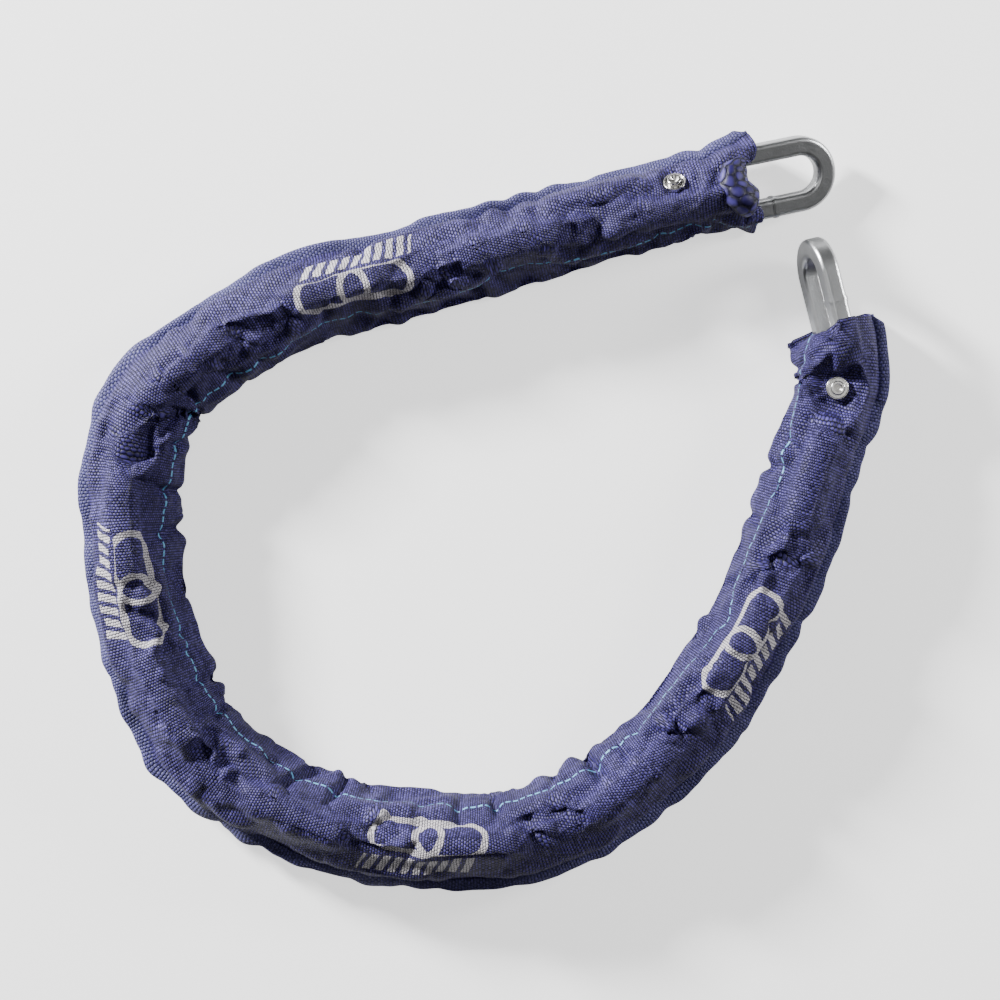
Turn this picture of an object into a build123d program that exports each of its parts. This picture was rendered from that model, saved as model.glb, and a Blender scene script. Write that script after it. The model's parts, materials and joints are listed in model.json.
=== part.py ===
"""Sleeved security chain: hardened square-bar links, zinc plated, in a woven sleeve riveted at both ends.

Frame: millimetres, +Z up, floor at Z = 0, origin under the middle of the loop that the chain is laid in.
The chain runs from end link A to end link B. Odd links lie flat and even links stand on edge, and the bar
of each link's near end sits in the far round end of the slot of the link before it.
"""

from build123d import *
from math import cos, radians, sin
import os

# Links
LINKS = 24
BAR = 8.0  # side of the square bar
BAR_ROUND = 2.0  # rounding along the bar's edges
SLOT_LENGTH = 39.0  # inner length of an ordinary link
SLOT_WIDTH = 12.0
END_SLOT_LENGTH = 41.0  # the two end links have to take a padlock shackle
END_SLOT_WIDTH = 15.5
SEAT = 6.0  # from the inner end of a slot to the middle of the bar that hangs in it
WELD_BEAD = ((2.6, 0.2), (1.3, 0.45))  # (length along the leg, height above the bar)

# Sleeve: an oval tube of woven fabric, in one section per link
SLEEVE_WIDTH = 38.0
SLEEVE_HEIGHT = 34.4
MOUTH_A_HEIGHT = 23.6  # the mouth lies flatter round end link A
FABRIC = 1.0
MOUTH = 34.0  # from an end link's tip to the mouth of the sleeve
BALL_RADIUS = 18.2  # a section's front end is cut to a ball about the bar it leads to
END_B_ROOM = 4.0  # the last ball is moved back to make room for the wider end link B
CLEAR_RADIUS = 22.4  # and the next section starts outside this ball, so that the two can bend

# Rivets: tubular rivets that pinch the sleeve together through the second link from each end
SHANK_RADIUS = 2.4
SHANK_HOLE = 2.5  # in the fabric and the washers
HEAD_RADIUS = 3.9  # factory head, underneath
HEAD_HEIGHT = 1.7
SET_RADIUS = 3.0  # the end that was set, on top, with a dimple in it
SET_HEIGHT = 2.2
DIMPLE_RADIUS = 1.9
DIMPLE_DEPTH = 1.6
WASHER_RADIUS = 4.75
WASHER_THICK = 1.0
WASHER_LIP = 0.7  # height and width of the washer's raised rim
PIT_RADIUS = 5.4  # flat bottom of the pit in the fabric under a washer
PIT_FLARE = 0.25  # how fast the pit widens towards the surface of the sleeve
# along: from the middle of the link; tilt: towards the left of the chain's run, in degrees;
# pinch: from the link's middle to the inside of the fabric
RIVET_A = {"letter": "a", "link": 2, "along": 3.0, "tilt": -38.0, "pinch": 8.2}
RIVET_B = {"letter": "b", "link": 23, "along": 2.0, "tilt": 0.0, "pinch": 4.8}

# How the chain lies: the tip of end link A, the heading there and the arcs (length, turn in degrees)
TIP = (147.7, 145.0)
FIRST_HEADING = 193.0
ARCS = (
    (215, 3), (65, 20), (70, 54), (65, 16), (90, 50),
    (85, 29), (85, 43), (105, 22), (100, 12),
)
END_B_HEADING = 464.0
AXIS_HEIGHT = SLEEVE_HEIGHT / 2
END_A_CLIMB = 12.0  # both end links slope down to the floor at their tips
END_B_CLIMB = -0.7
# Turn of a link about its own length where it is not plain flat (0) or on edge (90)
ROLLS = {1: -18.0, 2: 64.0, 3: -20.0, 4: 80.0, LINKS: 101.5}


def on_edge(number):
    return number % 2 == 0


def link_name(number):
    return {1: "end_link_a", LINKS: "end_link_b"}.get(number, f"link_{number:02d}")


def slot_size(number):
    """Inner length and inner width of a link."""
    if number in (1, LINKS):
        return END_SLOT_LENGTH, END_SLOT_WIDTH
    return SLOT_LENGTH, SLOT_WIDTH


def to_seat(number):
    """From the middle of a link to where its neighbour's bar hangs in its slot."""
    return slot_size(number)[0] / 2 - SEAT


def to_bar(number):
    """From the middle of a link to the middle of the bar across its end."""
    return (slot_size(number)[0] + BAR) / 2


def to_tip(number):
    return to_bar(number) + BAR / 2


def link_frame(centre, heading, climb, roll):
    """A link's plane: X along the link, Y across it, Z out of its face. Angles in degrees."""
    turn, rise, roll = radians(heading), radians(climb), radians(roll)
    along = Vector(cos(turn) * cos(rise), sin(turn) * cos(rise), sin(rise))
    left = Vector(-sin(turn), cos(turn), 0)
    across = left * cos(roll) + along.cross(left) * sin(roll)
    return Plane(origin=centre, x_dir=along, z_dir=along.cross(across))


def heading_at(distance):
    """Heading of the laid path at a distance from end link A's tip."""
    heading = FIRST_HEADING
    for length, turn in ARCS:
        if distance < length:
            return heading + turn * distance / length
        heading += turn
        distance -= length
    return heading


def lay_chain():
    """The frame of every link. Two links meet in plan at the bar of the one on edge."""
    frames = {}
    meeting = None
    travelled = 0.0
    for number in range(1, LINKS + 1):
        heading, climb, back = FIRST_HEADING, 0.0, to_tip(number)
        ahead = to_bar(number) if on_edge(number) else to_seat(number)
        if number == 1:
            climb, ahead = END_A_CLIMB, to_bar(number)
            meeting = Vector(*TIP, AXIS_HEIGHT - (back + ahead) * sin(radians(climb)))
        elif number == 2:
            back = to_seat(number)
        else:
            back = to_bar(number) if on_edge(number) else to_seat(number)
            heading = heading_at(travelled + (back + ahead) / 2)
        if number == LINKS:
            heading, climb = END_B_HEADING, END_B_CLIMB
        roll = ROLLS.get(number, 90.0 if on_edge(number) else 0.0)
        along = link_frame(meeting, heading, climb, roll).x_dir
        frames[number] = link_frame(meeting + along * back, heading, climb, roll)
        meeting = meeting + along * (back + ahead)
        travelled += back + ahead
    return frames


def hinge_point(number, frames):
    """The middle of the bar on which a link turns in the slot of the link before it."""
    return frames[number].origin - frames[number].x_dir * to_bar(number)


def make_link(number, frame):
    length, width = slot_size(number)
    with BuildPart() as link:
        with BuildSketch(frame):
            SlotCenterToCenter(length - width, width + 2 * BAR)
            SlotCenterToCenter(length - width, width, mode=Mode.SUBTRACT)
        extrude(amount=BAR / 2, both=True)
        fillet(link.edges(), radius=BAR_ROUND)
        leg = Plane(
            origin=frame.origin + frame.y_dir * (width + BAR) / 2, x_dir=frame.y_dir, z_dir=frame.x_dir
        )
        for bead_length, height in WELD_BEAD:
            with BuildSketch(leg):
                RectangleRounded(BAR + 2 * height, BAR + 2 * height, BAR_ROUND + height)
            extrude(amount=bead_length / 2, both=True)
    link.part.label = link_name(number)
    return link.part


def upright(frame, at):
    """A plane square across the chain, with its X to the left and its Y up."""
    left = Vector(0, 0, 1).cross(frame.x_dir).normalized()
    return Plane(origin=at, x_dir=left, z_dir=frame.x_dir)


def rivet_frame(rivet, frames):
    """Origin in the middle of the slot, X along the chain, Z along the rivet towards its set end."""
    frame = frames[rivet["link"]]
    cross = upright(frame, frame.origin + frame.x_dir * rivet["along"])
    tilt = radians(rivet["tilt"])
    axis = cross.y_dir * cos(tilt) + cross.x_dir * sin(tilt)
    return Plane(origin=cross.origin, x_dir=frame.x_dir, z_dir=axis)


def flipped(plane):
    return Plane(origin=plane.origin, x_dir=plane.x_dir, z_dir=plane.z_dir * -1)


def make_pit(side, pinch, skin):
    """The funnel that a rivet pulls into the sleeve, grown by a skin."""
    floor = pinch + FABRIC - skin
    depth = SLEEVE_WIDTH - floor
    bottom = PIT_RADIUS + skin
    with BuildPart(mode=Mode.PRIVATE) as pit:
        with BuildSketch(side.offset(floor)):
            Circle(bottom)
        with BuildSketch(side.offset(floor + depth)):
            Circle(bottom + depth * PIT_FLARE)
        loft()
    return pit.part


def make_ahead_cutter(cross):
    """Everything ahead of a plane that lies outside the ball about its origin."""
    with BuildPart(mode=Mode.PRIVATE) as cutter:
        with BuildSketch(cross):
            Circle(SLEEVE_WIDTH)
        extrude(amount=2 * BALL_RADIUS)
        with Locations(cross.origin):
            Sphere(BALL_RADIUS, mode=Mode.SUBTRACT)
    return cutter.part


def make_pit_lining(side, pinch, cross, length):
    """The fabric of a pit: as thick as the sleeve, trimmed to its oval, with the shank's hole."""
    with BuildPart(mode=Mode.PRIVATE) as lining:
        add(make_pit(side, pinch, FABRIC))
        add(make_pit(side, pinch, 0.0), mode=Mode.SUBTRACT)
        with BuildSketch(side):
            Circle(SHANK_HOLE)
        extrude(amount=SLEEVE_WIDTH, mode=Mode.SUBTRACT)
        with BuildSketch(cross):
            Ellipse(SLEEVE_WIDTH / 2, SLEEVE_HEIGHT / 2)
        extrude(amount=length, mode=Mode.INTERSECT)
    return lining.part


def make_first_sleeve(frames):
    """The section with mouth A: flat and rolled with end link A at the mouth, upright where it ends."""
    frame = frames[1]
    mouth = Plane(
        origin=frame.origin + frame.x_dir * (MOUTH - to_tip(1)), x_dir=frame.y_dir, z_dir=frame.x_dir
    )
    end = upright(frames[2], hinge_point(2, frames) + frames[2].x_dir * BALL_RADIUS / 2)
    with BuildPart() as sleeve:
        for skin, mode in ((0.0, Mode.ADD), (FABRIC, Mode.SUBTRACT)):
            with BuildSketch(mouth):
                Ellipse(SLEEVE_WIDTH / 2 - skin, MOUTH_A_HEIGHT / 2 - skin)
            with BuildSketch(end):
                Ellipse(SLEEVE_WIDTH / 2 - skin, SLEEVE_HEIGHT / 2 - skin)
            loft(mode=mode)
        cross = upright(frame, hinge_point(2, frames))
        add(make_ahead_cutter(cross), mode=Mode.SUBTRACT)
    sleeve.part.label = "sleeve_01"
    return sleeve.part


def make_sleeve(number, frames):
    """One section of the sleeve, square to its link and pulled in at a rivet if it has one."""
    frame = frames[number]
    start = hinge_point(number, frames)
    length = to_bar(number) + to_seat(number) + BALL_RADIUS
    if number == LINKS:
        length = to_bar(number) + to_tip(number) - MOUTH
    cross = upright(frame, start)
    with BuildPart() as sleeve:
        with BuildSketch(cross):
            Ellipse(SLEEVE_WIDTH / 2, SLEEVE_HEIGHT / 2)
            Ellipse(SLEEVE_WIDTH / 2 - FABRIC, SLEEVE_HEIGHT / 2 - FABRIC, mode=Mode.SUBTRACT)
        extrude(amount=length)
        for rivet in (RIVET_A, RIVET_B):
            if rivet["link"] == number:
                top = rivet_frame(rivet, frames)
                for side in (top, flipped(top)):
                    add(make_pit(side, rivet["pinch"], 0.0), mode=Mode.SUBTRACT)
                    add(make_pit_lining(side, rivet["pinch"], cross, length))
        with Locations(start):
            Sphere(CLEAR_RADIUS, mode=Mode.SUBTRACT)
        if number < LINKS:
            room = END_B_ROOM if number == LINKS - 1 else 0.0
            ahead = upright(frame, hinge_point(number + 1, frames) - frame.x_dir * room)
            add(make_ahead_cutter(ahead), mode=Mode.SUBTRACT)
    sleeve.part.label = f"sleeve_{number:02d}"
    return sleeve.part


def make_rivet(rivet, frames):
    """Shank, domed factory head underneath and a set end on top with a conical dimple."""
    frame = rivet_frame(rivet, frames)
    seat = rivet["pinch"] + FABRIC + WASHER_THICK
    dome_radius = (HEAD_RADIUS**2 + HEAD_HEIGHT**2) / (2 * HEAD_HEIGHT)
    with BuildPart() as body:
        with BuildSketch(frame.offset(-seat)):
            Circle(SHANK_RADIUS)
        extrude(amount=2 * seat)
        with BuildSketch(frame.offset(seat)):
            Circle(SET_RADIUS)
        extrude(amount=SET_HEIGHT)
        fillet(body.edges().sort_by(Axis(frame.origin, frame.z_dir))[-1], radius=0.5)
        with BuildSketch(frame.offset(seat + SET_HEIGHT)):
            Circle(DIMPLE_RADIUS)
        with BuildSketch(frame.offset(seat + SET_HEIGHT - DIMPLE_DEPTH)):
            Circle(0.3)
        loft(mode=Mode.SUBTRACT)
        with BuildPart(mode=Mode.PRIVATE) as dome:
            with Locations(frame.offset(-seat - HEAD_HEIGHT + dome_radius).origin):
                Sphere(dome_radius)
            with BuildSketch(frame.offset(-seat - HEAD_HEIGHT)):
                Circle(HEAD_RADIUS)
            extrude(amount=HEAD_HEIGHT, mode=Mode.INTERSECT)
        add(dome.part)
    body.part.label = f"rivet_{rivet['letter']}"
    return body.part


def make_washer(rivet, side, name):
    """A washer with a raised rim, lying on the fabric in its pit."""
    seat = rivet["pinch"] + FABRIC
    with BuildPart() as washer:
        with BuildSketch(side.offset(seat)):
            Circle(WASHER_RADIUS)
            Circle(SHANK_HOLE, mode=Mode.SUBTRACT)
        extrude(amount=WASHER_THICK)
        with BuildSketch(side.offset(seat + WASHER_THICK)):
            Circle(WASHER_RADIUS)
            Circle(WASHER_RADIUS - WASHER_LIP, mode=Mode.SUBTRACT)
        extrude(amount=WASHER_LIP)
        rims = washer.edges().sort_by(Axis(side.origin, side.z_dir))[-2:]
        fillet(rims, radius=0.3)
    washer.part.label = name
    return washer.part


os.makedirs("parts", exist_ok=True)
frames = lay_chain()
pieces = [make_link(number, frames[number]) for number in frames]
pieces.append(make_first_sleeve(frames))
pieces += [make_sleeve(number, frames) for number in range(2, LINKS + 1)]
for rivet in (RIVET_A, RIVET_B):
    top = rivet_frame(rivet, frames)
    pieces.append(make_rivet(rivet, frames))
    pieces.append(make_washer(rivet, top, f"washer_{rivet['letter']}_top"))
    pieces.append(make_washer(rivet, flipped(top), f"washer_{rivet['letter']}_under"))
for piece in pieces:
    export_step(piece, f"parts/{piece.label}.step")
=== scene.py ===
"""Looks of the sleeved security chain: plated links and rivets from the CAD, and a simulated cloth sleeve."""

import json
import math

import bmesh
import bpy
import numpy as np
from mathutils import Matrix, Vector
from mathutils.bvhtree import BVHTree


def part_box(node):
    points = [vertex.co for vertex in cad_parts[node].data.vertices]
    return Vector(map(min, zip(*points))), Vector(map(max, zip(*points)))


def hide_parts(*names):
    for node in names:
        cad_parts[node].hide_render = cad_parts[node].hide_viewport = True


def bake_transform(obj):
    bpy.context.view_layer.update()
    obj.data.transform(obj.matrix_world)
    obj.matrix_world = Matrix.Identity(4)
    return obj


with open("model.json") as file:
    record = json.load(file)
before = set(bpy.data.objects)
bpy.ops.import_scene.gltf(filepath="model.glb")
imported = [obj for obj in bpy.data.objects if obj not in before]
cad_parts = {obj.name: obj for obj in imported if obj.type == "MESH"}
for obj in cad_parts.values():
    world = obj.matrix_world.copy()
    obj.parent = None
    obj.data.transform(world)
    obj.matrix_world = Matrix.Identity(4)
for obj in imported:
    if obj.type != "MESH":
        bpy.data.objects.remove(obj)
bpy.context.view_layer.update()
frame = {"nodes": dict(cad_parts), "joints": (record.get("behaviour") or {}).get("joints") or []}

LINKS = 24
SEED = 7

# Sleeve, in metres
HALF_WIDTH = 0.0197
HALF_HEIGHT = 0.0172
MOUTH_HALF_HEIGHT = 0.0118  # flatter where it lies round end link A
MOUTH_ROLL = math.radians(-18.0)
MOUTH_FROM_TIP = 0.034
FLATTEN_LENGTH = 0.030
CLOTH_THICKNESS = 0.0011
EXTRA_LENGTH = 1.09  # the cloth is this much longer than the path it is pushed onto
RINGS = 330
COLUMNS = 44

# Simulation, done ten times larger so that the cloth solver's distances fit
SIM_SCALE = 10.0
SIM_FRAMES = 30
START_RIPPLE = 0.0005
START_ABOVE_FLOOR = 0.0004

# Finer grid that the simulated one is drawn with
FINE_ALONG = 3
FINE_AROUND = 2

# Pits that the rivets pull into the cloth
PIT_RADIUS = 0.0052  # held flat under the washer
PIT_FADE = 0.017
RIVET_ZONE = 0.03  # nothing further than this from a rivet is moved by it

# Sewn edge along the outside of the loop
FIN_WIDTH = 0.0045
FIN_THICKNESS = 0.0016

# Creases across the sleeve, pressed in after it has settled
CREASE_SPACING = (0.012, 0.025)
CREASE_DEPTH = (0.0058, 0.0096)
CREASE_REACH = (0.9, 1.9)  # radians round the sleeve, each way
CREASE_WIDTH = 0.0029
CREASE_SLANT = 0.0045  # along the sleeve for each radian round it
CREASE_WAVER = 0.0014
CREASE_FREE_END = 0.010  # no crease starts this near a mouth
PUFF = 0.0058  # the cloth stands out this much between creases
PUFF_LENGTH = 0.009
ALL_ROUND_FROM = 0.62  # from here to mouth B the creases reach the outside of the loop too
CALM_LENGTH = 0.034  # shallower this near a print, where the ink stiffens the cloth
RIVET_CALM = 0.016  # creases fade out over this distance towards a rivet
RUMPLE = 0.0007  # height of the small bumps between creases
SLACK_TAKEN = 0.0014  # the whole sleeve is this much closer to the links than it settled
FLARE = {"sewn edge": 0.0050, "inside": 0.0022}  # how far the mouths open at each side
FLARE_LENGTH = 0.022
LINK_CLEARANCE = 0.0009
ABOVE_FLOOR = 0.0003
LEAST_RADIUS = 0.0098  # away from the rivets, no crease goes nearer to the middle line than this
RAY_START = 0.024  # rays that look for links start this far from the middle line
PRINTS = (0.175, 0.358, 0.538, 0.705)  # where the print repeats, as path length from mouth A


# ---------------------------------------------------------------- path of the chain


def link_node(number):
    return {1: "end_link_a", LINKS: "end_link_b"}.get(number, f"link_{number:02d}")


def box_centre(node):
    low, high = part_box(node)
    return np.array((low + high) / 2)


def far_tip(number, away_from):
    """The point of an end link that is furthest from its neighbour, on the link's own axis."""
    points = np.array([v.co for v in frame["nodes"][link_node(number)].data.vertices])
    centre = box_centre(link_node(number))
    axis = centre - away_from
    axis = axis / np.linalg.norm(axis)
    return centre + axis * ((points - centre) @ axis).max()


hinges = {int(j["name"][-2:]): np.array(j["pos_m"]) for j in frame["joints"]}
centres = {n: box_centre(link_node(n)) for n in range(1, LINKS + 1)}
tip_a = far_tip(1, hinges[2])
tip_b = far_tip(LINKS, hinges[LINKS])


def spline(points, samples=24):
    """A smooth curve through the points (Catmull-Rom)."""
    points = np.array(points)
    padded = np.vstack([2 * points[0] - points[1], points, 2 * points[-1] - points[-2]])
    t = np.linspace(0, 1, samples, endpoint=False)[:, None]
    pieces = []
    for p0, p1, p2, p3 in zip(padded, padded[1:], padded[2:], padded[3:]):
        pieces.append(
            0.5
            * (
                2 * p1
                + (p2 - p0) * t
                + (2 * p0 - 5 * p1 + 4 * p2 - p3) * t**2
                + (3 * p1 - p0 - 3 * p2 + p3) * t**3
            )
        )
    return np.vstack(pieces + [points[-1:]])


def lengths_along(points):
    return np.concatenate([[0.0], np.cumsum(np.linalg.norm(np.diff(points, axis=0), axis=1))])


def resample(points, at):
    run = lengths_along(points)
    return np.stack([np.interp(at, run, points[:, k]) for k in range(3)], axis=1)


waypoints = [tip_a] + [hinges[n] for n in range(2, LINKS + 1)] + [tip_b]
path = spline(waypoints)
path_length = lengths_along(path)[-1]
stations = np.linspace(MOUTH_FROM_TIP, path_length - MOUTH_FROM_TIP, RINGS)
axis_points = resample(path, stations)


def directions(points):
    """Left and up at each point of a path."""
    along = np.gradient(points, axis=0)
    along /= np.linalg.norm(along, axis=1)[:, None]
    left = np.cross([0, 0, 1], along)
    left /= np.linalg.norm(left, axis=1)[:, None]
    return left, np.cross(along, left)


# ---------------------------------------------------------------- rivets


def rivet_axis(letter):
    """Middle of a rivet's washers, and for each washer where it sits and which way it faces."""
    top = box_centre(f"washer_{letter}_top")
    under = box_centre(f"washer_{letter}_under")
    axis = (top - under) / np.linalg.norm(top - under)
    return (top + under) / 2, axis, np.linalg.norm(top - under) / 2 - 0.0012


RIVETS = [rivet_axis("a"), rivet_axis("b")]


def pull_in(points):
    """Draws the tube in under each washer, fading out around it. Returns the points and which are held."""
    points = points.copy()
    held = np.zeros(len(points), bool)
    for middle, axis, seat in RIVETS:
        offset = points - middle
        height = offset @ axis
        radial = np.linalg.norm(offset - height[:, None] * axis, axis=1)
        near = np.linalg.norm(offset, axis=1) < RIVET_ZONE
        share = np.clip(1 - (radial - PIT_RADIUS) / PIT_FADE, 0, 1)
        share = share * share * (3 - 2 * share) * near
        target = np.sign(height) * seat
        deeper = np.abs(height) > seat
        points += ((target - height) * share * deeper)[:, None] * axis
        held |= near & (radial < PIT_RADIUS)
    return points, held


# ---------------------------------------------------------------- the tube before it settles


def tube(points):
    """Rings of an oval tube about a path.

    Column 0 is on the outside of the loop, and the next ones run over the top.
    """
    left, up = directions(points)
    run = lengths_along(points)
    flat = np.clip(1 - run / FLATTEN_LENGTH, 0, 1)
    half_height = HALF_HEIGHT + (MOUTH_HALF_HEIGHT - HALF_HEIGHT) * flat
    roll = MOUTH_ROLL * flat
    angle = math.pi + np.arange(COLUMNS) * -2 * math.pi / COLUMNS
    x = HALF_WIDTH * np.cos(angle)[None, :] * np.ones(len(points))[:, None]
    y = half_height[:, None] * np.sin(angle)[None, :]
    turned_x = x * np.cos(roll)[:, None] - y * np.sin(roll)[:, None]
    turned_y = x * np.sin(roll)[:, None] + y * np.cos(roll)[:, None]
    return points[:, None] + turned_x[..., None] * left[:, None] + turned_y[..., None] * up[:, None]


def smooth_noise(rings, columns, cell_rings, cell_columns, rng):
    """Seeded noise on the tube's grid that repeats around it."""
    coarse = rng.normal(size=(max(3, rings // cell_rings), max(3, columns // cell_columns)))
    along = np.linspace(0, coarse.shape[0] - 1.001, rings)
    around = np.arange(columns) * coarse.shape[1] / columns
    i, j = along.astype(int), around.astype(int)
    u = (along - i)[:, None]
    v = (around - j)[None, :]
    u, v = u * u * (3 - 2 * u), v * v * (3 - 2 * v)
    a = coarse[np.ix_(i, j % coarse.shape[1])]
    b = coarse[np.ix_(i + 1, j % coarse.shape[1])]
    c = coarse[np.ix_(i, (j + 1) % coarse.shape[1])]
    d = coarse[np.ix_(i + 1, (j + 1) % coarse.shape[1])]
    return (a * (1 - u) + b * u) * (1 - v) + (c * (1 - u) + d * u) * v


def grid_faces(rings, columns):
    faces = []
    for i in range(rings - 1):
        for j in range(columns):
            k = (j + 1) % columns
            faces.append((i * columns + j, (i + 1) * columns + j, (i + 1) * columns + k, i * columns + k))
    return faces


def start_shape():
    rng = np.random.default_rng(SEED)
    grid = tube(axis_points)
    outward = grid - axis_points[:, None]
    outward /= np.linalg.norm(outward, axis=2)[..., None]
    short = smooth_noise(RINGS, COLUMNS, 3, 6, rng)
    long = smooth_noise(RINGS, COLUMNS, 6, 11, rng)
    grid = grid + outward * np.abs(short * START_RIPPLE + long * START_RIPPLE)[..., None]
    points, held = pull_in(grid.reshape(-1, 3))
    points[:, 2] = np.maximum(points[:, 2], START_ABOVE_FLOOR)
    return points, held


def rest_shape():
    """The same tube, straight and at its own full length: this is what the cloth tries to be."""
    straight = np.zeros((RINGS, 3))
    straight[:, 0] = (stations - stations[0]) * EXTRA_LENGTH
    angle = math.pi + np.arange(COLUMNS) * -2 * math.pi / COLUMNS
    rest = np.zeros((RINGS, COLUMNS, 3))
    rest[..., 0] = straight[:, :1]
    rest[..., 1] = HALF_WIDTH * np.cos(angle)
    rest[..., 2] = HALF_HEIGHT * np.sin(angle) + HALF_HEIGHT
    return rest.reshape(-1, 3)


# ---------------------------------------------------------------- cloth simulation


def collider(name, points, faces):
    mesh = bpy.data.meshes.new(name)
    mesh.from_pydata(points.tolist(), [], faces)
    shell = bmesh.new()
    shell.from_mesh(mesh)
    if len(faces) > 1:
        bmesh.ops.recalc_face_normals(shell, faces=shell.faces)
    shell.to_mesh(mesh)
    shell.free()
    obj = bpy.data.objects.new(name, mesh)
    bpy.context.scene.collection.objects.link(obj)
    obj.modifiers.new("Collision", "COLLISION")
    obj.collision.thickness_outer = 0.006
    obj.collision.thickness_inner = 0.05
    obj.collision.cloth_friction = 8.0
    return obj


def link_collider(number):
    """The link's own outline, coarse: a ring of square sections along its middle line."""
    node = frame["nodes"][link_node(number)]
    points = np.array([v.co for v in node.data.vertices])
    centre = centres[number]
    _, vectors = np.linalg.eigh(np.cov((points - centre).T))
    x, y, z = vectors[:, 2], vectors[:, 1], vectors[:, 0]
    half_length = ((points - centre) @ x).max()
    half_width = ((points - centre) @ y).max() - 0.0004
    ring = []
    for step in range(28):
        angle = 2 * math.pi * step / 28
        middle = np.array([math.cos(angle), math.sin(angle)]) * (half_width - 0.004)
        shift = 0.0
        if abs(math.cos(angle)) > 0.1:
            shift = math.copysign(half_length - half_width, math.cos(angle))
        for across, face in ((-1, -1), (1, -1), (1, 1), (-1, 1)):
            grow = 1 + across * 0.0036 / (half_width - 0.004)
            ring.append(centre + x * (middle[0] * grow + shift) + y * middle[1] * grow + z * face * 0.0036)
    faces = []
    for step in range(28):
        a, b = step * 4, ((step + 1) % 28) * 4
        for k in range(4):
            m = (k + 1) % 4
            faces.append((a + k, a + m, b + m, b + k))
    return collider(f"collider_{number}", np.array(ring) * SIM_SCALE, faces)


def settle(points, held):
    """Runs the cloth and returns where its points end up."""
    mesh = bpy.data.meshes.new("sleeve_sim")
    mesh.from_pydata((points * SIM_SCALE).tolist(), [], grid_faces(RINGS, COLUMNS))
    mesh.update()
    obj = bpy.data.objects.new("sleeve_sim", mesh)
    bpy.context.scene.collection.objects.link(obj)
    obj.shape_key_add(name="Basis")
    rest = obj.shape_key_add(name="rest")
    rest.data.foreach_set("co", (rest_shape() * SIM_SCALE).astype(np.float32).ravel())
    rest.value = 0.0
    group = obj.vertex_groups.new(name="held")
    group.add([int(i) for i in np.nonzero(held)[0]], 1.0, "REPLACE")
    modifier = obj.modifiers.new("Cloth", "CLOTH")
    cloth = modifier.settings
    cloth.quality = 5
    cloth.mass = 0.35
    cloth.air_damping = 6.0
    cloth.tension_stiffness = 30.0
    cloth.compression_stiffness = 30.0
    cloth.shear_stiffness = 12.0
    cloth.bending_stiffness = 0.5
    cloth.tension_damping = 10.0
    cloth.compression_damping = 10.0
    cloth.shear_damping = 10.0
    cloth.bending_damping = 1.0
    cloth.rest_shape_key = rest
    cloth.vertex_group_mass = "held"
    cloth.effector_weights.gravity = 1.0
    collision = modifier.collision_settings
    collision.collision_quality = 3
    collision.distance_min = 0.006
    collision.use_self_collision = True
    collision.self_distance_min = 0.008
    floor = np.array([(-4, -4, 0), (4, -4, 0), (4, 4, 0), (-4, 4, 0)], float)
    colliders = [link_collider(number) for number in range(1, LINKS + 1)]
    colliders.append(collider("collider_floor", floor, [(0, 1, 2, 3)]))
    modifier.point_cache.frame_start = 1
    modifier.point_cache.frame_end = SIM_FRAMES
    scene = bpy.context.scene
    scene.frame_start, scene.frame_end = 1, SIM_FRAMES
    for number in range(1, SIM_FRAMES + 1):
        scene.frame_set(number)
    evaluated = obj.evaluated_get(bpy.context.evaluated_depsgraph_get())
    settled = np.zeros(len(points) * 3, np.float32)
    evaluated.data.vertices.foreach_get("co", settled)
    for unwanted in colliders + [obj]:
        bpy.data.objects.remove(unwanted, do_unlink=True)
    scene.frame_set(1)
    return settled.reshape(-1, 3).astype(float) / SIM_SCALE


# ---------------------------------------------------------------- the settled sleeve


def refine(grid, times, closed):
    """Catmull-Rom refinement along the first axis of a grid."""
    if closed:
        before, after, last = np.roll(grid, 1, 0), np.roll(grid, -1, 0), np.roll(grid, -2, 0)
        start = grid
    else:
        padded = np.concatenate([2 * grid[:1] - grid[1:2], grid, 2 * grid[-1:] - grid[-2:-1]])
        before, start, after, last = padded[:-3], padded[1:-2], padded[2:-1], padded[3:]
    steps = []
    for k in range(times):
        t = k / times
        steps.append(
            0.5
            * (
                2 * start
                + (after - before) * t
                + (2 * before - 5 * start + 4 * after - last) * t**2
                + (3 * start - before - 3 * after + last) * t**3
            )
        )
    fine = np.stack(steps, axis=1).reshape((-1,) + grid.shape[1:])
    return fine if closed else np.concatenate([fine, grid[-1:]])


def grid_normals(grid):
    """Outward normals of a closed tube's grid."""
    along = np.gradient(grid, axis=0)
    around = np.roll(grid, -1, 1) - np.roll(grid, 1, 1)
    normal = np.cross(around, along)
    return normal / np.maximum(np.linalg.norm(normal, axis=2), 1e-9)[..., None]


def smooth_along(grid, reach):
    """The grid averaged along the sleeve with a bell-shaped weight."""
    bell = np.exp(-0.5 * (np.arange(-3 * reach, 3 * reach + 1) / reach) ** 2)
    padded = np.concatenate([np.repeat(grid[:1], 3 * reach, 0), grid, np.repeat(grid[-1:], 3 * reach, 0)])
    return sum(w * padded[k : k + len(grid)] for k, w in enumerate(bell / bell.sum()))


def angle_from_inside(columns):
    """Angle of each column round the sleeve: 0 facing the inside of the loop, negative over the top."""
    return 2 * math.pi * np.arange(columns) / columns - math.pi


def widest_nearby(values, reach, axis):
    """The largest value within a reach along one axis of a grid."""
    if axis == 1:
        return np.max([np.roll(values, k, 1) for k in range(-reach, reach + 1)], axis=0)
    padded = np.concatenate([np.repeat(values[:1], reach, 0), values, np.repeat(values[-1:], reach, 0)])
    return np.max([padded[k : k + len(values)] for k in range(2 * reach + 1)], axis=0)


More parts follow.
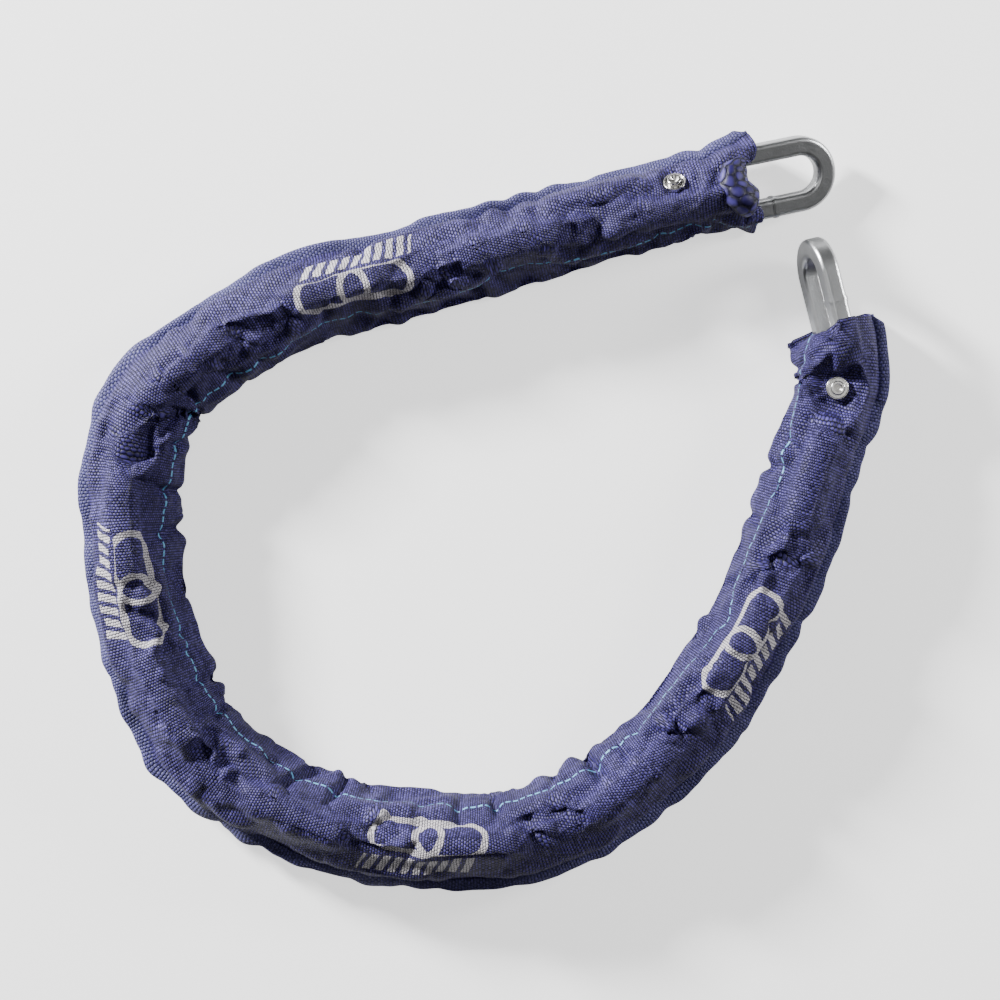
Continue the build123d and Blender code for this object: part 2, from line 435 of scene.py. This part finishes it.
def stretch_outside(grid, kept):
    """The outside of the loop is pulled taut over the links; the inside keeps its wrinkles."""
    taut = np.clip(-np.cos(angle_from_inside(grid.shape[1])) * 1.3 - 0.1, 0, 1)
    share = np.broadcast_to(taut[None, :], grid.shape[:2]) * ~kept
    offset = grid - axis_points[:, None]
    radius = np.linalg.norm(offset, axis=2)
    ways = smooth_along(offset / radius[..., None], 5)
    ways /= np.linalg.norm(ways, axis=2)[..., None]
    hull = smooth_along(widest_nearby(radius, 5, 0), 4)
    hull = np.minimum(hull, HALF_WIDTH * 1.08)[..., None]
    return grid + (axis_points[:, None] + ways * hull - grid) * share[..., None]


def away_from_rivets(grid, fade):
    """0 under the washers, rising to 1 over the fade distance round them."""
    share = np.ones(grid.shape[:2])
    for middle, axis, _ in RIVETS:
        offset = grid - middle
        radial = np.linalg.norm(offset - (offset @ axis)[..., None] * axis, axis=2)
        beyond = np.linalg.norm(offset, axis=2) > RIVET_ZONE
        share *= np.where(beyond, 1.0, np.clip((radial - PIT_RADIUS) / fade, 0, 1))
    return share


def crease_shift(stations_here, columns):
    """How far each point moves along its normal so that the cloth gathers in creases."""
    rng = np.random.default_rng(SEED + 2)
    angle = angle_from_inside(columns)[None, :]
    shift = np.zeros((len(stations_here), columns))
    gathered = np.zeros((len(stations_here), columns))
    place = stations[0] + CREASE_FREE_END
    while place < stations[-1] - CREASE_FREE_END:
        turn = rng.normal(-0.95, 0.55) if place < ALL_ROUND_FROM else rng.uniform(-2.4, 0.6)
        reach = rng.uniform(*CREASE_REACH)
        slant = rng.normal(0.0, CREASE_SLANT)
        depth = rng.uniform(*CREASE_DEPTH)
        calm = min(1.0, min(abs(place - stations[0] - p) for p in PRINTS) / CALM_LENGTH)
        reach *= 0.5 + 0.5 * calm
        depth *= 0.6 + 0.4 * calm
        across = np.clip(1 - ((angle - turn) / reach) ** 2, 0, 1) ** 1.5
        wander = slant * (angle - turn) + CREASE_WAVER * np.sin(3 * angle + place * 300)
        away = (stations_here[:, None] - place - wander) / CREASE_WIDTH
        shift += depth * across / (1 + away**2)
        gathered += across * np.exp(-((away * CREASE_WIDTH / PUFF_LENGTH) ** 2))
        place += rng.uniform(*CREASE_SPACING)
    deepest = CREASE_DEPTH[1] * 1.15
    rumple = smooth_noise(len(stations_here), columns, 8, 7, rng) * RUMPLE
    return PUFF * np.tanh(gathered) - deepest * np.tanh(shift / deepest) + rumple - SLACK_TAKEN


def mouth_flare(stations_here, columns):
    """The sleeve opens out a little at its mouths, most at the sewn edge."""
    angle = angle_from_inside(columns)[None, :]
    sides = np.where(np.cos(angle) < 0, FLARE["sewn edge"], FLARE["inside"]) * np.cos(angle) ** 4
    flare = np.zeros((len(stations_here), columns))
    for end, size in ((stations[0], 1.0), (stations[-1], 0.7)):
        near = np.clip(1 - np.abs(stations_here - end) / FLARE_LENGTH, 0, 1)[:, None]
        flare += size * sides * near**1.6
    return flare


def link_surface():
    """All links as one surface for rays to meet."""
    corners, polygons = [], []
    for number in range(1, LINKS + 1):
        mesh = frame["nodes"][link_node(number)].data
        first = len(corners)
        corners += [v.co for v in mesh.vertices]
        polygons += [[first + k for k in polygon.vertices] for polygon in mesh.polygons]
    return BVHTree.FromPolygons(corners, polygons)


def keep_clear(grid, middles):
    """Lifts the cloth off the links wherever it would lie in them or touch them."""
    surface = link_surface()
    offset = grid - middles[:, None]
    radius = np.linalg.norm(offset, axis=2)
    ways = offset / radius[..., None]
    links = np.zeros(radius.shape)
    for ring, middle in enumerate(middles):
        for column, way in enumerate(ways[ring]):
            hit = surface.ray_cast(middle + way * RAY_START, -way, RAY_START)
            if hit[0] is not None:
                links[ring, column] = RAY_START - hit[3]
    for axis in (0, 1):
        links = widest_nearby(links, 2, axis)
    links = np.maximum(smooth_along(links, 1), LEAST_RADIUS * away_from_rivets(grid, PIT_FADE) ** 2)
    links = (np.roll(links, 1, 1) + links + np.roll(links, -1, 1)) / 3
    cleared = middles[:, None] + ways * np.maximum(radius, links + LINK_CLEARANCE * (links > 0))[..., None]
    cleared[..., 2] = np.maximum(cleared[..., 2], ABOVE_FLOOR)
    return cleared


def outward_normals(grid):
    normals = grid_normals(grid)
    outward = ((grid - grid.mean(axis=1)[:, None]) * normals).sum()
    return normals if outward > 0 else -normals


points, held = start_shape()
points = settle(points, held)
coarse = stretch_outside(points.reshape(RINGS, COLUMNS, 3), held.reshape(RINGS, COLUMNS))
fine = refine(coarse, FINE_ALONG, closed=False)
fine = refine(fine.swapaxes(0, 1), FINE_AROUND, closed=True).swapaxes(0, 1)
fine_rings, fine_columns = fine.shape[:2]
ring_station = np.linspace(stations[0], stations[-1], fine_rings)
shift = crease_shift(ring_station, fine_columns) + mouth_flare(ring_station, fine_columns)
fine = fine + outward_normals(fine) * (shift * away_from_rivets(fine, RIVET_CALM))[..., None]
fine = keep_clear(fine, resample(path, ring_station))
fine_normals = outward_normals(fine)
cloth_run = (ring_station - stations[0]) * EXTRA_LENGTH
GIRTH = math.pi * (HALF_WIDTH + HALF_HEIGHT)


# One half of the sewn edge's section and its mirror image, as shares of its width and thickness
FIN_HALF = ((-0.3, 0.6), (0.55, 0.62), (0.95, 0.5))
FIN_OUTLINE = FIN_HALF + ((1.0, 0.0),) + tuple((out, -side) for out, side in reversed(FIN_HALF))


def fin_rows(rings):
    """The sewn edge that stands out along the outside of the loop: seven points for each ring."""
    rng = np.random.default_rng(SEED + 1)
    base = fine[rings, 0]
    outward = fine_normals[:, 0].copy()
    kernel = np.ones(9) / 9
    for k in range(3):
        outward[:, k] = np.convolve(outward[:, k], kernel, mode="same")
    turns = np.arange(0, fine_rings, 14)
    sway = np.interp(np.arange(fine_rings), turns, rng.normal(size=len(turns)))
    outward[:, 2] += -0.25 + 0.16 * sway
    outward /= np.linalg.norm(outward, axis=1)[:, None]
    outward = outward[rings]
    along = np.gradient(fine[:, 0], axis=0)[rings]
    along /= np.linalg.norm(along, axis=1)[:, None]
    thick = np.cross(along, outward)
    from_mouth = np.minimum(ring_station[rings] - stations[0], stations[-1] - ring_station[rings])
    ends = np.clip(from_mouth / 0.004, 0.25, 1)
    rows = []
    for out, side in FIN_OUTLINE:
        rows.append(base + outward * (out * FIN_WIDTH * ends)[:, None] + thick * side * FIN_THICKNESS)
    return np.stack(rows, axis=1)


def station_of(number):
    """How far along the path the middle of a link lies."""
    return lengths_along(path)[np.argmin(np.linalg.norm(path - centres[number], axis=1))]


def piece_rings(number):
    """The rings of the stretch between the middles of one link and the next, ends included."""
    first = 0 if number == 1 else int(np.searchsorted(ring_station, station_of(number)))
    last = fine_rings - 1
    if number + 1 < LINKS:
        last = int(np.searchsorted(ring_station, station_of(number + 1)))
    return np.arange(first, last + 1)


def make_sleeve_piece(number, material):
    """The sleeve between the middles of two links."""
    rings = piece_rings(number)
    count = len(rings)
    tube_points = fine[rings].reshape(-1, 3)
    fin = fin_rows(rings)
    fin_columns = fin.shape[1]
    faces = grid_faces(count, fine_columns)
    offset = len(tube_points)
    for i in range(count - 1):
        for j in range(fin_columns - 1):
            a = offset + i * fin_columns + j
            faces.append((a, a + fin_columns, a + fin_columns + 1, a + 1))
    mesh = bpy.data.meshes.new(f"sleeve_{number:02d}_cloth")
    mesh.from_pydata(np.vstack([tube_points, fin.reshape(-1, 3)]).tolist(), [], faces)
    mesh.update()
    around = np.arange(fine_columns + 1) * GIRTH / fine_columns
    fin_around = np.array([0.0, -0.5, -0.9, -1.0, -1.1, -1.5, -2.0]) * FIN_WIDTH
    layer = mesh.uv_layers.new(name="cloth")
    coordinates = []
    for i in range(count - 1):
        v0, v1 = cloth_run[rings[i]], cloth_run[rings[i + 1]]
        for j in range(fine_columns):
            u0, u1 = around[j], around[j + 1]
            coordinates += [u0, v0, u0, v1, u1, v1, u1, v0]
    for i in range(count - 1):
        v0, v1 = cloth_run[rings[i]], cloth_run[rings[i + 1]]
        for j in range(fin_columns - 1):
            u0, u1 = fin_around[j], fin_around[j + 1]
            coordinates += [u0, v0, u0, v1, u1, v1, u1, v0]
    layer.data.foreach_set("uv", np.array(coordinates, np.float32))
    mesh.polygons.foreach_set("use_smooth", [True] * len(mesh.polygons))
    obj = bpy.data.objects.new(f"sleeve_{number:02d}_cloth", mesh)
    bpy.context.scene.collection.objects.link(obj)
    mesh.materials.append(material)
    if number in (1, LINKS - 1):
        thicken_mouth(obj)
    else:
        fin_normals = np.array([v.normal for v in mesh.vertices])[offset:]
        normals = np.vstack([fine_normals[rings].reshape(-1, 3), fin_normals])
        mesh.normals_split_custom_set_from_vertices(normals.tolist())
    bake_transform(obj)
    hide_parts(f"sleeve_{number:02d}")
    if number == LINKS - 1:
        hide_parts(f"sleeve_{LINKS:02d}")
    return obj


def thicken_mouth(obj):
    """Gives an end stretch of the sleeve its thickness, which shows at the mouth."""
    modifier = obj.modifiers.new("thickness", "SOLIDIFY")
    modifier.thickness = CLOTH_THICKNESS
    modifier.offset = -1.0
    modifier.use_even_offset = False
    bpy.context.view_layer.objects.active = obj
    bpy.ops.object.modifier_apply(modifier=modifier.name)


# ---------------------------------------------------------------- materials


class Nodes:
    """A short way to write a material's arithmetic."""

    def __init__(self, name):
        self.material = bpy.data.materials.new(name)
        self.material.use_nodes = True
        self.tree = self.material.node_tree
        self.shader = self.tree.nodes["Principled BSDF"]

    def add(self, kind, **settings):
        node = self.tree.nodes.new(kind)
        for key, value in settings.items():
            setattr(node, key, value)
        return node

    def put(self, value, socket):
        if isinstance(value, bpy.types.NodeSocket):
            self.tree.links.new(value, socket)
        else:
            socket.default_value = value

    def math(self, operation, *values):
        node = self.add("ShaderNodeMath", operation=operation)
        for value, socket in zip(values, node.inputs):
            self.put(value, socket)
        return node.outputs[0]

    def ramp(self, value, low, high):
        """0 below low, 1 above high, straight in between."""
        node = self.add("ShaderNodeMapRange", clamp=True)
        self.put(value, node.inputs["Value"])
        self.put(low, node.inputs["From Min"])
        self.put(high, node.inputs["From Max"])
        return node.outputs[0]

    def mix(self, share, first, second):
        node = self.add("ShaderNodeMix", data_type="RGBA")
        self.put(share, node.inputs["Factor"])
        self.put(first, node.inputs[6])
        self.put(second, node.inputs[7])
        return node.outputs[2]

    def noise(self, scale, detail=2.0, vector=None):
        node = self.add("ShaderNodeTexNoise")
        node.inputs["Scale"].default_value = scale
        node.inputs["Detail"].default_value = detail
        if vector is None:
            vector = self.add("ShaderNodeTexCoord").outputs["Object"]
        self.put(vector, node.inputs["Vector"])
        return node.outputs["Fac"]

    def bump(self, height, distance, strength=1.0, normal=None):
        node = self.add("ShaderNodeBump")
        node.inputs["Distance"].default_value = distance
        node.inputs["Strength"].default_value = strength
        self.put(height, node.inputs["Height"])
        if normal is not None:
            self.put(normal, node.inputs["Normal"])
        return node.outputs["Normal"]


RIB = 1.25  # mm along the sleeve from one rib of the weave to the next
BEAD = 1.05  # mm along a rib from one yarn bump to the next
STITCH_LINES = (50.0, -2.2)  # mm round from the outer edge
PRINT_ROUND = 27.0  # mm round from the outer edge to the print's middle


def box_distance(n, x, y, half_x, half_y, corner):
    """Signed distance to a rounded box centred on 0."""
    ax = n.math("SUBTRACT", n.math("ABSOLUTE", x), half_x - corner)
    ay = n.math("SUBTRACT", n.math("ABSOLUTE", y), half_y - corner)
    px, py = n.math("MAXIMUM", ax, 0.0), n.math("MAXIMUM", ay, 0.0)
    outside = n.math("SQRT", n.math("ADD", n.math("MULTIPLY", px, px), n.math("MULTIPLY", py, py)))
    inside = n.math("MINIMUM", n.math("MAXIMUM", ax, ay), 0.0)
    return n.math("SUBTRACT", n.math("ADD", outside, inside), corner)


def print_mask(n, u, v):
    """Two interlocked link outlines over a row of slanted bars, repeated along the sleeve."""
    y = n.math("SUBTRACT", u, PRINT_ROUND)
    mask = 0.0
    for place in PRINTS:
        x = n.math("SUBTRACT", v, place * EXTRA_LENGTH * 1000.0)
        for shift in (-10.0, 10.0):
            edge = box_distance(n, n.math("SUBTRACT", x, shift), n.math("SUBTRACT", y, 4.5), 16.0, 8.0, 7.9)
            band = n.math("LESS_THAN", n.math("ABSOLUTE", edge), 1.5)
            mask = n.math("MAXIMUM", mask, band)
        slanted = n.math("SUBTRACT", x, n.math("MULTIPLY", y, 0.5))
        bars = n.math("LESS_THAN", n.math("FLOORED_MODULO", slanted, 5.4), 3.3)
        field = n.math("LESS_THAN", box_distance(n, slanted, n.math("ADD", y, 10.5), 25.0, 3.4, 0.2), 0.0)
        mask = n.math("MAXIMUM", mask, n.math("MULTIPLY", bars, field))
    return mask


def cloth_material():
    n = Nodes("woven_sleeve")
    uv = n.add("ShaderNodeUVMap", uv_map="cloth").outputs[0]
    split = n.add("ShaderNodeSeparateXYZ")
    n.put(uv, split.inputs[0])
    wobble = n.noise(180.0, 1.0)
    u = n.math("MULTIPLY", split.outputs["X"], 1000.0)
    v = n.math("MULTIPLY", split.outputs["Y"], 1000.0)
    v_wavy = n.math("ADD", v, n.math("MULTIPLY", n.math("SUBTRACT", wobble, 0.5), 0.5))
    row = n.math("DIVIDE", v_wavy, RIB)
    row_number = n.math("FLOOR", row)
    odd = n.math("FLOORED_MODULO", row_number, 2.0)
    column = n.math("ADD", n.math("DIVIDE", u, BEAD), n.math("MULTIPLY", odd, 0.5))
    across = n.math("MULTIPLY", n.math("SUBTRACT", n.math("FRACT", row), 0.5), 2.0)
    along = n.math("MULTIPLY", n.math("SUBTRACT", n.math("FRACT", column), 0.5), 2.0)
    squared = n.math(
        "ADD",
        n.math("MULTIPLY", n.math("MULTIPLY", across, across), 0.85),
        n.math("MULTIPLY", n.math("MULTIPLY", along, along), 0.75),
    )
    height = n.math("SQRT", n.math("MAXIMUM", n.math("SUBTRACT", 1.0, squared), 0.0))
    cell = n.add("ShaderNodeCombineXYZ")
    n.put(row_number, cell.inputs[0])
    n.put(n.math("FLOOR", column), cell.inputs[1])
    random = n.add("ShaderNodeTexWhiteNoise")
    n.put(cell.outputs[0], random.inputs["Vector"])
    each = random.outputs["Value"]
    patches = n.noise(28.0, 3.0)

    yarn = n.mix(each, (0.012, 0.006, 0.072, 1), (0.098, 0.078, 0.330, 1))
    yarn = n.mix(n.ramp(patches, 0.40, 0.95), yarn, (0.016, 0.009, 0.090, 1))
    # painted shade: the hollows between the yarn bumps are darkened towards near-black by the bump height,
    # standing in for the shade that falls in them
    base = n.mix(n.ramp(height, 0.50, 0.95), (0.002, 0.001, 0.016, 1), yarn)
    on_fin = n.math("LESS_THAN", u, -0.2)
    base = n.mix(n.math("MULTIPLY", on_fin, 0.35), base, (0.16, 0.16, 0.36, 1))

    printed = print_mask(n, u, v_wavy)
    uneven_height = n.math("ADD", height, n.math("MULTIPLY", each, 0.35))
    ink = n.math("MULTIPLY", printed, n.ramp(uneven_height, 0.45, 0.75))
    base = n.mix(n.math("MULTIPLY", ink, 0.92), base, (0.56, 0.53, 0.56, 1))

    thread = 0.0
    dashes = n.math("LESS_THAN", n.math("FLOORED_MODULO", v, 4.2), 2.9)
    for place in STITCH_LINES:
        near = n.math("LESS_THAN", n.math("ABSOLUTE", n.math("SUBTRACT", u, place)), 0.42)
        thread = n.math("MAXIMUM", thread, n.math("MULTIPLY", near, dashes))
    base = n.mix(thread, base, (0.12, 0.34, 0.56, 1))
    height = n.math("MAXIMUM", height, n.math("MULTIPLY", thread, 1.1))

    n.put(base, n.shader.inputs["Base Color"])
    n.shader.inputs["Roughness"].default_value = 0.52
    n.shader.inputs["Sheen Weight"].default_value = 0.02
    n.shader.inputs["Sheen Roughness"].default_value = 0.45
    n.shader.inputs["Sheen Tint"].default_value = (0.70, 0.70, 1.0, 1)
    n.shader.inputs["Specular IOR Level"].default_value = 0.35
    creases = n.bump(n.noise(140.0, 3.0), 0.0012, 0.5)
    n.put(n.bump(height, 0.00042, 1.0, creases), n.shader.inputs["Normal"])
    return n.material


def plated_material(name, colour, roughness, speckle):
    """Zinc or nickel plate: metal with a fine grain and a faint blotchiness."""
    n = Nodes(name)
    blotch = n.noise(90.0, 4.0)
    grain = n.noise(1400.0, 2.0)
    darker = tuple(c * 0.80 for c in colour[:3]) + (1,)
    n.put(n.mix(n.ramp(blotch, 0.3, 0.75), colour, darker), n.shader.inputs["Base Color"])
    n.shader.inputs["Metallic"].default_value = 1.0
    rough = n.math("ADD", roughness - 0.06, n.math("MULTIPLY", blotch, 0.14))
    n.put(rough, n.shader.inputs["Roughness"])
    wear = n.bump(n.noise(160.0, 3.0), 0.0005, 0.35)
    n.put(n.bump(grain, 0.00012, speckle, wear), n.shader.inputs["Normal"])
    return n.material


zinc = plated_material("zinc_plate", (0.60, 0.61, 0.62, 1), 0.34, 0.5)
nickel = plated_material("nickel_plate", (0.72, 0.71, 0.69, 1), 0.24, 0.25)
cloth = cloth_material()

for name, node in frame["nodes"].items():
    if name.startswith("sleeve"):
        continue
    node.data.materials.clear()
    node.data.materials.append(zinc if "link" in name else nickel)

for number in range(1, LINKS):
    make_sleeve_piece(number, cloth)


# ---------------------------------------------------------------- floor, light and camera


FLOOR_GLOW = 0.15  # light the floor gives to the object
FLOOR_WHITENESS = 1.0  # extra brightness that only the camera sees


def make_floor():
    mesh = bpy.data.meshes.new("floor")
    mesh.from_pydata([(-3, -3, 0), (3, -3, 0), (3, 3, 0), (-3, 3, 0)], [], [(0, 1, 2, 3)])
    floor = bpy.data.objects.new("floor", mesh)
    bpy.context.scene.collection.objects.link(floor)
    floor.location.z = -0.0003
    n = Nodes("floor_white")
    n.put(n.mix(n.noise(3.0), (0.90, 0.90, 0.90, 1), (0.93, 0.93, 0.93, 1)), n.shader.inputs["Base Color"])
    n.shader.inputs["Roughness"].default_value = 0.75
    n.shader.inputs["Emission Color"].default_value = (1, 1, 1, 1)
    seen = n.add("ShaderNodeLightPath").outputs["Is Camera Ray"]
    glow = n.math("ADD", FLOOR_GLOW, n.math("MULTIPLY", seen, FLOOR_WHITENESS))
    n.put(glow, n.shader.inputs["Emission Strength"])
    mesh.materials.append(n.material)


def make_light(name, place, size, power):
    data = bpy.data.lights.new(name, "AREA")
    data.size, data.energy = size, power
    light = bpy.data.objects.new(name, data)
    light.location = place
    light.rotation_euler = (-Vector(place)).to_track_quat("-Z", "Y").to_euler()
    bpy.context.scene.collection.objects.link(light)


make_floor()
make_light("key", (-1.6, 1.15, 0.74), 0.30, 172.0)
make_light("fill", (1.15, 0.45, 0.50), 0.30, 12.0)
make_light("top", (0.0, 0.1, 1.9), 1.0, 4.0)

world = bpy.data.worlds.new("studio")
world.use_nodes = True
world.node_tree.nodes["Background"].inputs["Color"].default_value = (1, 1, 1, 1)
world.node_tree.nodes["Background"].inputs["Strength"].default_value = 0.05
bpy.context.scene.world = world

camera_data = bpy.data.cameras.new("camera")
camera_data.lens = 85.0
camera = bpy.data.objects.new("camera", camera_data)
camera.location = (0.0076, 0.0046, 1.0)
camera.rotation_euler = (0.0, 0.0, 0.0)
bpy.context.scene.collection.objects.link(camera)
bpy.context.scene.camera = camera
